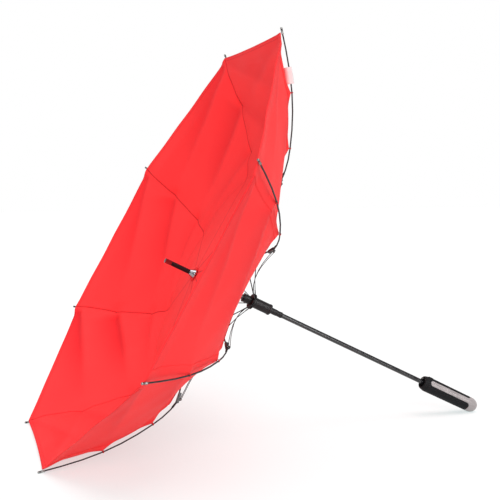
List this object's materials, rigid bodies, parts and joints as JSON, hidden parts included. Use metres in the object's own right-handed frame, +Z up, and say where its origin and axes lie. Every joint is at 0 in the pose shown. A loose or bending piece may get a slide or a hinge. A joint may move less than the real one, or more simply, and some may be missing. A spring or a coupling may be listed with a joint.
{
  "type": "automatic umbrella",
  "caption": "Automatic stick umbrella lying with its red canopy turned inside out: spring runner, hinged ribs and stretchers, push button and straight grip.",
  "frame": {"origin": "bottom centre of the bounding box, on the floor that two rib tips and the end of the handle touch", "axes": "+Z up from the floor; +X towards the end of the handle, in the upright plane of the shaft; +Y across, away from the viewer of the picture; the shaft rises towards -X"},
  "size_m": [1.0042, 0.9632, 0.8176],
  "materials": {
    "black_steel": "satin black coating on steel",
    "spring_steel": "plain drawn wire and pressed steel",
    "black_plastic": "moulded, satin",
    "soft_grip": "soft-touch black",
    "grey_trim": "light warm grey, satin",
    "chrome": "polished",
    "red_cloth": "plain woven red pongee",
    "graphite_rod": "dark grey fibreglass rod, satin",
    "white_label": "bare white woven tape"
  },
  "bodies": {
    "frame": {"shaft": "black_steel", "shaft_plug": "black_plastic", "opening_spring": "spring_steel", "crown": "black_plastic", "crown_wire": "spring_steel", "ferrule_cone": "chrome", "ferrule_tube": "black_plastic", "ferrule_cap": "chrome", "rosette": "red_cloth", "handle_body": "soft_grip", "handle_trim": "grey_trim", "catch_pin": "spring_steel", "catch_spring": "spring_steel"},
    "runner": {"runner": "black_plastic", "runner_wire": "spring_steel", "runner_drive_pin": "spring_steel", "spring_plunger": "black_plastic"},
    "push_button": {"push_button": "black_plastic"},
    "runner_catch": {"runner_catch": "spring_steel"},
    "inner_rib_1": {"inner_rib_1": "graphite_rod"},
    "outer_rib_1": {"outer_rib_1": "graphite_rod", "care_label": "white_label"},
    "stretcher_1": {"stretcher_1": "black_steel"},
    "inner_gore_1": {"inner_gore_1": "red_cloth"},
    "outer_gore_1": {"outer_gore_1": "red_cloth"},
    "inner_rib_2": {"inner_rib_2": "graphite_rod"},
    "outer_rib_2": {"outer_rib_2": "graphite_rod"},
    "stretcher_2": {"stretcher_2": "black_steel"},
    "inner_gore_2": {"inner_gore_2": "red_cloth"},
    "outer_gore_2": {"outer_gore_2": "red_cloth"},
    "inner_rib_3": {"inner_rib_3": "graphite_rod"},
    "outer_rib_3": {"outer_rib_3": "graphite_rod"},
    "stretcher_3": {"stretcher_3": "black_steel"},
    "inner_gore_3": {"inner_gore_3": "red_cloth"},
    "outer_gore_3": {"outer_gore_3": "red_cloth"},
    "inner_rib_4": {"inner_rib_4": "graphite_rod"},
    "outer_rib_4": {"outer_rib_4": "graphite_rod"},
    "stretcher_4": {"stretcher_4": "black_steel"},
    "inner_gore_4": {"inner_gore_4": "red_cloth"},
    "outer_gore_4": {"outer_gore_4": "red_cloth"},
    "inner_rib_5": {"inner_rib_5": "graphite_rod"},
    "outer_rib_5": {"outer_rib_5": "graphite_rod"},
    "stretcher_5": {"stretcher_5": "black_steel"},
    "inner_gore_5": {"inner_gore_5": "red_cloth"},
    "outer_gore_5": {"outer_gore_5": "red_cloth"},
    "inner_rib_6": {"inner_rib_6": "graphite_rod"},
    "outer_rib_6": {"outer_rib_6": "graphite_rod"},
    "stretcher_6": {"stretcher_6": "black_steel"},
    "inner_gore_6": {"inner_gore_6": "red_cloth"},
    "outer_gore_6": {"outer_gore_6": "red_cloth"},
    "inner_rib_7": {"inner_rib_7": "graphite_rod"},
    "outer_rib_7": {"outer_rib_7": "graphite_rod"},
    "stretcher_7": {"stretcher_7": "black_steel"},
    "inner_gore_7": {"inner_gore_7": "red_cloth"},
    "outer_gore_7": {"outer_gore_7": "red_cloth"},
    "inner_rib_8": {"inner_rib_8": "graphite_rod"},
    "outer_rib_8": {"outer_rib_8": "graphite_rod"},
    "stretcher_8": {"stretcher_8": "black_steel"},
    "inner_gore_8": {"inner_gore_8": "red_cloth"},
    "outer_gore_8": {"outer_gore_8": "red_cloth"}
  },
  "joints": [
    {"name": "runner_slide", "type": "slide", "parent": "frame", "child": "runner", "axis": [0.8969, 0, -0.4423], "range_m": [0, 0.3735], "stiffness_N_per_m": 60, "springref_m": -0.3, "deforming": ["opening_spring", "inner_gore_1", "inner_gore_2", "inner_gore_3", "inner_gore_4", "inner_gore_5", "inner_gore_6", "inner_gore_7", "inner_gore_8", "outer_gore_1", "outer_gore_2", "outer_gore_3", "outer_gore_4", "outer_gore_5", "outer_gore_6", "outer_gore_7", "outer_gore_8"]},
    {"name": "rib_hinge_1", "type": "hinge", "parent": "frame", "child": "inner_rib_1", "pos_m": [-0.14931, -0.00536, 0.34357], "axis": [0.1693, 0.9239, 0.3432], "range_deg": [0, 74.07]},
    {"name": "inner_gore_hinge_1", "type": "hinge", "parent": "frame", "child": "inner_gore_1", "pos_m": [-0.15099, -0.00915, 0.34018], "axis": [0.3128, 0.7071, 0.6342], "range_deg": [0, 74.07]},
    {"name": "stretcher_hinge_1", "type": "hinge", "parent": "inner_rib_1", "child": "stretcher_1", "pos_m": [-0.00633, -0.09869, 0.52431], "axis": [0.1693, 0.9239, 0.3432], "range_deg": [-141.37, 0]},
    {"name": "rib_hinge_2", "type": "hinge", "parent": "frame", "child": "inner_rib_2", "pos_m": [-0.15266, -0.01293, 0.33678], "axis": [0.4086, 0.3827, 0.8286], "range_deg": [0, 74.07]},
    {"name": "inner_gore_hinge_2", "type": "hinge", "parent": "frame", "child": "inner_gore_2", "pos_m": [-0.15503, -0.01293, 0.33197], "axis": [0.4423, 0, 0.8969], "range_deg": [0, 74.07]},
    {"name": "stretcher_hinge_2", "type": "hinge", "parent": "inner_rib_2", "child": "stretcher_2", "pos_m": [-0.06806, -0.23827, 0.39913], "axis": [0.4086, 0.3827, 0.8286], "range_deg": [-141.37, 0]},
    {"name": "rib_hinge_3", "type": "hinge", "parent": "frame", "child": "inner_rib_3", "pos_m": [-0.1574, -0.01293, 0.32717], "axis": [0.4086, -0.3827, 0.8286], "range_deg": [0, 74.07]},
    {"name": "inner_gore_hinge_3", "type": "hinge", "parent": "frame", "child": "inner_gore_3", "pos_m": [-0.15908, -0.00915, 0.32377], "axis": [0.3128, -0.7071, 0.6342], "range_deg": [0, 74.07]},
    {"name": "stretcher_hinge_3", "type": "hinge", "parent": "inner_rib_3", "child": "stretcher_3", "pos_m": [-0.15536, -0.23827, 0.2221], "axis": [0.4086, -0.3827, 0.8286], "range_deg": [-141.37, 0]},
    {"name": "rib_hinge_4", "type": "hinge", "parent": "frame", "child": "inner_rib_4", "pos_m": [-0.16075, -0.00536, 0.32037], "axis": [0.1693, -0.9239, 0.3432], "range_deg": [0, 74.07]},
    {"name": "inner_gore_hinge_4", "type": "hinge", "parent": "frame", "child": "inner_gore_4", "pos_m": [-0.16075, 0, 0.32037], "axis": [0, -1, 0], "range_deg": [0, 74.07]},
    {"name": "stretcher_hinge_4", "type": "hinge", "parent": "inner_rib_4", "child": "stretcher_4", "pos_m": [-0.2171, -0.09869, 0.09692], "axis": [0.1693, -0.9239, 0.3432], "range_deg": [-141.37, 0]},
    {"name": "rib_hinge_5", "type": "hinge", "parent": "frame", "child": "inner_rib_5", "pos_m": [-0.16075, 0.00536, 0.32037], "axis": [-0.1693, -0.9239, -0.3432], "range_deg": [0, 74.07]},
    {"name": "inner_gore_hinge_5", "type": "hinge", "parent": "frame", "child": "inner_gore_5", "pos_m": [-0.15908, 0.00915, 0.32377], "axis": [-0.3128, -0.7071, -0.6342], "range_deg": [0, 74.07]},
    {"name": "stretcher_hinge_5", "type": "hinge", "parent": "inner_rib_5", "child": "stretcher_5", "pos_m": [-0.2171, 0.09869, 0.09692], "axis": [-0.1693, -0.9239, -0.3432], "range_deg": [-141.37, 0]},
    {"name": "rib_hinge_6", "type": "hinge", "parent": "frame", "child": "inner_rib_6", "pos_m": [-0.1574, 0.01293, 0.32717], "axis": [-0.4086, -0.3827, -0.8286], "range_deg": [0, 74.07]},
    {"name": "inner_gore_hinge_6", "type": "hinge", "parent": "frame", "child": "inner_gore_6", "pos_m": [-0.15503, 0.01293, 0.33197], "axis": [-0.4423, 0, -0.8969], "range_deg": [0, 74.07]},
    {"name": "stretcher_hinge_6", "type": "hinge", "parent": "inner_rib_6", "child": "stretcher_6", "pos_m": [-0.15536, 0.23827, 0.2221], "axis": [-0.4086, -0.3827, -0.8286], "range_deg": [-141.37, 0]},
    {"name": "rib_hinge_7", "type": "hinge", "parent": "frame", "child": "inner_rib_7", "pos_m": [-0.15266, 0.01293, 0.33678], "axis": [-0.4086, 0.3827, -0.8286], "range_deg": [0, 74.07]},
    {"name": "inner_gore_hinge_7", "type": "hinge", "parent": "frame", "child": "inner_gore_7", "pos_m": [-0.15099, 0.00915, 0.34018], "axis": [-0.3128, 0.7071, -0.6342], "range_deg": [0, 74.07]},
    {"name": "stretcher_hinge_7", "type": "hinge", "parent": "inner_rib_7", "child": "stretcher_7", "pos_m": [-0.06806, 0.23827, 0.39913], "axis": [-0.4086, 0.3827, -0.8286], "range_deg": [-141.37, 0]},
    {"name": "rib_hinge_8", "type": "hinge", "parent": "frame", "child": "inner_rib_8", "pos_m": [-0.14931, 0.00536, 0.34357], "axis": [-0.1693, 0.9239, -0.3432], "range_deg": [0, 74.07]},
    {"name": "inner_gore_hinge_8", "type": "hinge", "parent": "frame", "child": "inner_gore_8", "pos_m": [-0.14931, 0, 0.34357], "axis": [0, 1, 0], "range_deg": [0, 74.07]},
    {"name": "stretcher_hinge_8", "type": "hinge", "parent": "inner_rib_8", "child": "stretcher_8", "pos_m": [-0.00633, 0.09869, 0.52431], "axis": [-0.1693, 0.9239, -0.3432], "range_deg": [-141.37, 0]},
    {"name": "canopy_flip", "type": "hinge", "parent": "inner_gore_8", "child": "outer_gore_8", "pos_m": [-0.01976, 0, 0.53505], "axis": [0, 1, 0], "range_deg": [0, 49.7], "stiffness_Nm_per_rad": 2, "springref_deg": -17.19, "deforming": ["inner_gore_1", "inner_gore_2", "inner_gore_3", "inner_gore_4", "inner_gore_5", "inner_gore_6", "inner_gore_7", "inner_gore_8", "outer_gore_1", "outer_gore_2", "outer_gore_3", "outer_gore_4", "outer_gore_5", "outer_gore_6", "outer_gore_7", "outer_gore_8"]},
    {"name": "outer_rib_hinge_1", "type": "hinge", "parent": "inner_rib_1", "child": "outer_rib_1", "pos_m": [-0.009, -0.10022, 0.52974], "axis": [0.1693, 0.9239, 0.3432], "range_deg": [0, 46.02]},
    {"name": "outer_gore_hinge_1", "type": "hinge", "parent": "inner_gore_1", "child": "outer_gore_1", "pos_m": [-0.05111, -0.17109, 0.47149], "axis": [0.3128, 0.7071, 0.6342], "range_deg": [0, 50.62]},
    {"name": "outer_rib_hinge_2", "type": "hinge", "parent": "inner_rib_2", "child": "outer_rib_2", "pos_m": [-0.07169, -0.24196, 0.40262], "axis": [0.4086, 0.3827, 0.8286], "range_deg": [0, 47.62]},
    {"name": "outer_gore_hinge_2", "type": "hinge", "parent": "inner_gore_2", "child": "outer_gore_2", "pos_m": [-0.12678, -0.24196, 0.31804], "axis": [0.4423, 0, 0.8969], "range_deg": [0, 53.02]},
    {"name": "outer_rib_hinge_3", "type": "hinge", "parent": "inner_rib_3", "child": "outer_rib_3", "pos_m": [-0.16035, -0.24196, 0.22285], "axis": [0.4086, -0.3827, 0.8286], "range_deg": [0, 50.62]},
    {"name": "outer_gore_hinge_3", "type": "hinge", "parent": "inner_gore_3", "child": "outer_gore_3", "pos_m": [-0.20245, -0.17109, 0.16459], "axis": [0.3128, -0.7071, 0.6342], "range_deg": [0, 58.62]},
    {"name": "outer_rib_hinge_4", "type": "hinge", "parent": "inner_rib_4", "child": "outer_rib_4", "pos_m": [-0.22304, -0.10022, 0.09572], "axis": [0.1693, -0.9239, 0.3432], "range_deg": [0, 58.02]},
    {"name": "outer_gore_hinge_4", "type": "hinge", "parent": "inner_gore_4", "child": "outer_gore_4", "pos_m": [-0.2338, 0, 0.10103], "axis": [0, -1, 0], "range_deg": [0, 62.42]},
    {"name": "outer_rib_hinge_5", "type": "hinge", "parent": "inner_rib_5", "child": "outer_rib_5", "pos_m": [-0.22304, 0.10022, 0.09572], "axis": [-0.1693, -0.9239, -0.3432], "range_deg": [0, 58.02]},
    {"name": "outer_gore_hinge_5", "type": "hinge", "parent": "inner_gore_5", "child": "outer_gore_5", "pos_m": [-0.20245, 0.17109, 0.16459], "axis": [-0.3128, -0.7071, -0.6342], "range_deg": [0, 58.62]},
    {"name": "outer_rib_hinge_6", "type": "hinge", "parent": "inner_rib_6", "child": "outer_rib_6", "pos_m": [-0.16035, 0.24196, 0.22285], "axis": [-0.4086, -0.3827, -0.8286], "range_deg": [0, 50.62]},
    {"name": "outer_gore_hinge_6", "type": "hinge", "parent": "inner_gore_6", "child": "outer_gore_6", "pos_m": [-0.12678, 0.24196, 0.31804], "axis": [-0.4423, 0, -0.8969], "range_deg": [0, 53.02]},
    {"name": "outer_rib_hinge_7", "type": "hinge", "parent": "inner_rib_7", "child": "outer_rib_7", "pos_m": [-0.07169, 0.24196, 0.40262], "axis": [-0.4086, 0.3827, -0.8286], "range_deg": [0, 47.62]},
    {"name": "outer_gore_hinge_7", "type": "hinge", "parent": "inner_gore_7", "child": "outer_gore_7", "pos_m": [-0.05111, 0.17109, 0.47149], "axis": [-0.3128, 0.7071, -0.6342], "range_deg": [0, 50.62]},
    {"name": "outer_rib_hinge_8", "type": "hinge", "parent": "inner_rib_8", "child": "outer_rib_8", "pos_m": [-0.009, 0.10022, 0.52974], "axis": [-0.1693, 0.9239, -0.3432], "range_deg": [0, 46.02]},
    {"name": "button_press", "type": "slide", "parent": "frame", "child": "push_button", "axis": [-0.4423, 0, -0.8969], "range_m": [0, 0.0018], "stiffness_N_per_m": 400, "springref_m": -0.002, "deforming": ["catch_spring"]},
    {"name": "catch_hinge", "type": "hinge", "parent": "frame", "child": "runner_catch", "pos_m": [0.37272, 0, 0.08175], "axis": [0, 1, 0], "range_deg": [0, 8.52]}
  ],
  "couplings": [
    {"joint": "rib_hinge_1", "follows": "runner_slide", "rad_per_m": 3.4603},
    {"joint": "inner_gore_hinge_1", "follows": "runner_slide", "rad_per_m": 3.4603},
    {"joint": "stretcher_hinge_1", "follows": "runner_slide", "rad_per_m": -6.6051},
    {"joint": "rib_hinge_2", "follows": "runner_slide", "rad_per_m": 3.4603},
    {"joint": "inner_gore_hinge_2", "follows": "runner_slide", "rad_per_m": 3.4603},
    {"joint": "stretcher_hinge_2", "follows": "runner_slide", "rad_per_m": -6.6051},
    {"joint": "rib_hinge_3", "follows": "runner_slide", "rad_per_m": 3.4603},
    {"joint": "inner_gore_hinge_3", "follows": "runner_slide", "rad_per_m": 3.4603},
    {"joint": "stretcher_hinge_3", "follows": "runner_slide", "rad_per_m": -6.6051},
    {"joint": "rib_hinge_4", "follows": "runner_slide", "rad_per_m": 3.4603},
    {"joint": "inner_gore_hinge_4", "follows": "runner_slide", "rad_per_m": 3.4603},
    {"joint": "stretcher_hinge_4", "follows": "runner_slide", "rad_per_m": -6.6051},
    {"joint": "rib_hinge_5", "follows": "runner_slide", "rad_per_m": 3.4603},
    {"joint": "inner_gore_hinge_5", "follows": "runner_slide", "rad_per_m": 3.4603},
    {"joint": "stretcher_hinge_5", "follows": "runner_slide", "rad_per_m": -6.6051},
    {"joint": "rib_hinge_6", "follows": "runner_slide", "rad_per_m": 3.4603},
    {"joint": "inner_gore_hinge_6", "follows": "runner_slide", "rad_per_m": 3.4603},
    {"joint": "stretcher_hinge_6", "follows": "runner_slide", "rad_per_m": -6.6051},
    {"joint": "rib_hinge_7", "follows": "runner_slide", "rad_per_m": 3.4603},
    {"joint": "inner_gore_hinge_7", "follows": "runner_slide", "rad_per_m": 3.4603},
    {"joint": "stretcher_hinge_7", "follows": "runner_slide", "rad_per_m": -6.6051},
    {"joint": "rib_hinge_8", "follows": "runner_slide", "rad_per_m": 3.4603},
    {"joint": "inner_gore_hinge_8", "follows": "runner_slide", "rad_per_m": 3.4603},
    {"joint": "stretcher_hinge_8", "follows": "runner_slide", "rad_per_m": -6.6051},
    {"joint": "outer_rib_hinge_1", "follows": "canopy_flip", "ratio": 0.92555},
    {"joint": "outer_gore_hinge_1", "follows": "canopy_flip", "ratio": 1.0181},
    {"joint": "outer_rib_hinge_2", "follows": "canopy_flip", "ratio": 0.95775},
    {"joint": "outer_gore_hinge_2", "follows": "canopy_flip", "ratio": 1.0664},
    {"joint": "outer_rib_hinge_3", "follows": "canopy_flip", "ratio": 1.0181},
    {"joint": "outer_gore_hinge_3", "follows": "canopy_flip", "ratio": 1.1791},
    {"joint": "outer_rib_hinge_4", "follows": "canopy_flip", "ratio": 1.167},
    {"joint": "outer_gore_hinge_4", "follows": "canopy_flip", "ratio": 1.2555},
    {"joint": "outer_rib_hinge_5", "follows": "canopy_flip", "ratio": 1.167},
    {"joint": "outer_gore_hinge_5", "follows": "canopy_flip", "ratio": 1.1791},
    {"joint": "outer_rib_hinge_6", "follows": "canopy_flip", "ratio": 1.0181},
    {"joint": "outer_gore_hinge_6", "follows": "canopy_flip", "ratio": 1.0664},
    {"joint": "outer_rib_hinge_7", "follows": "canopy_flip", "ratio": 0.95775},
    {"joint": "outer_gore_hinge_7", "follows": "canopy_flip", "ratio": 1.0181},
    {"joint": "outer_rib_hinge_8", "follows": "canopy_flip", "ratio": 0.92555},
    {"joint": "catch_hinge", "follows": "button_press", "rad_per_m": 82.418}
  ]
}
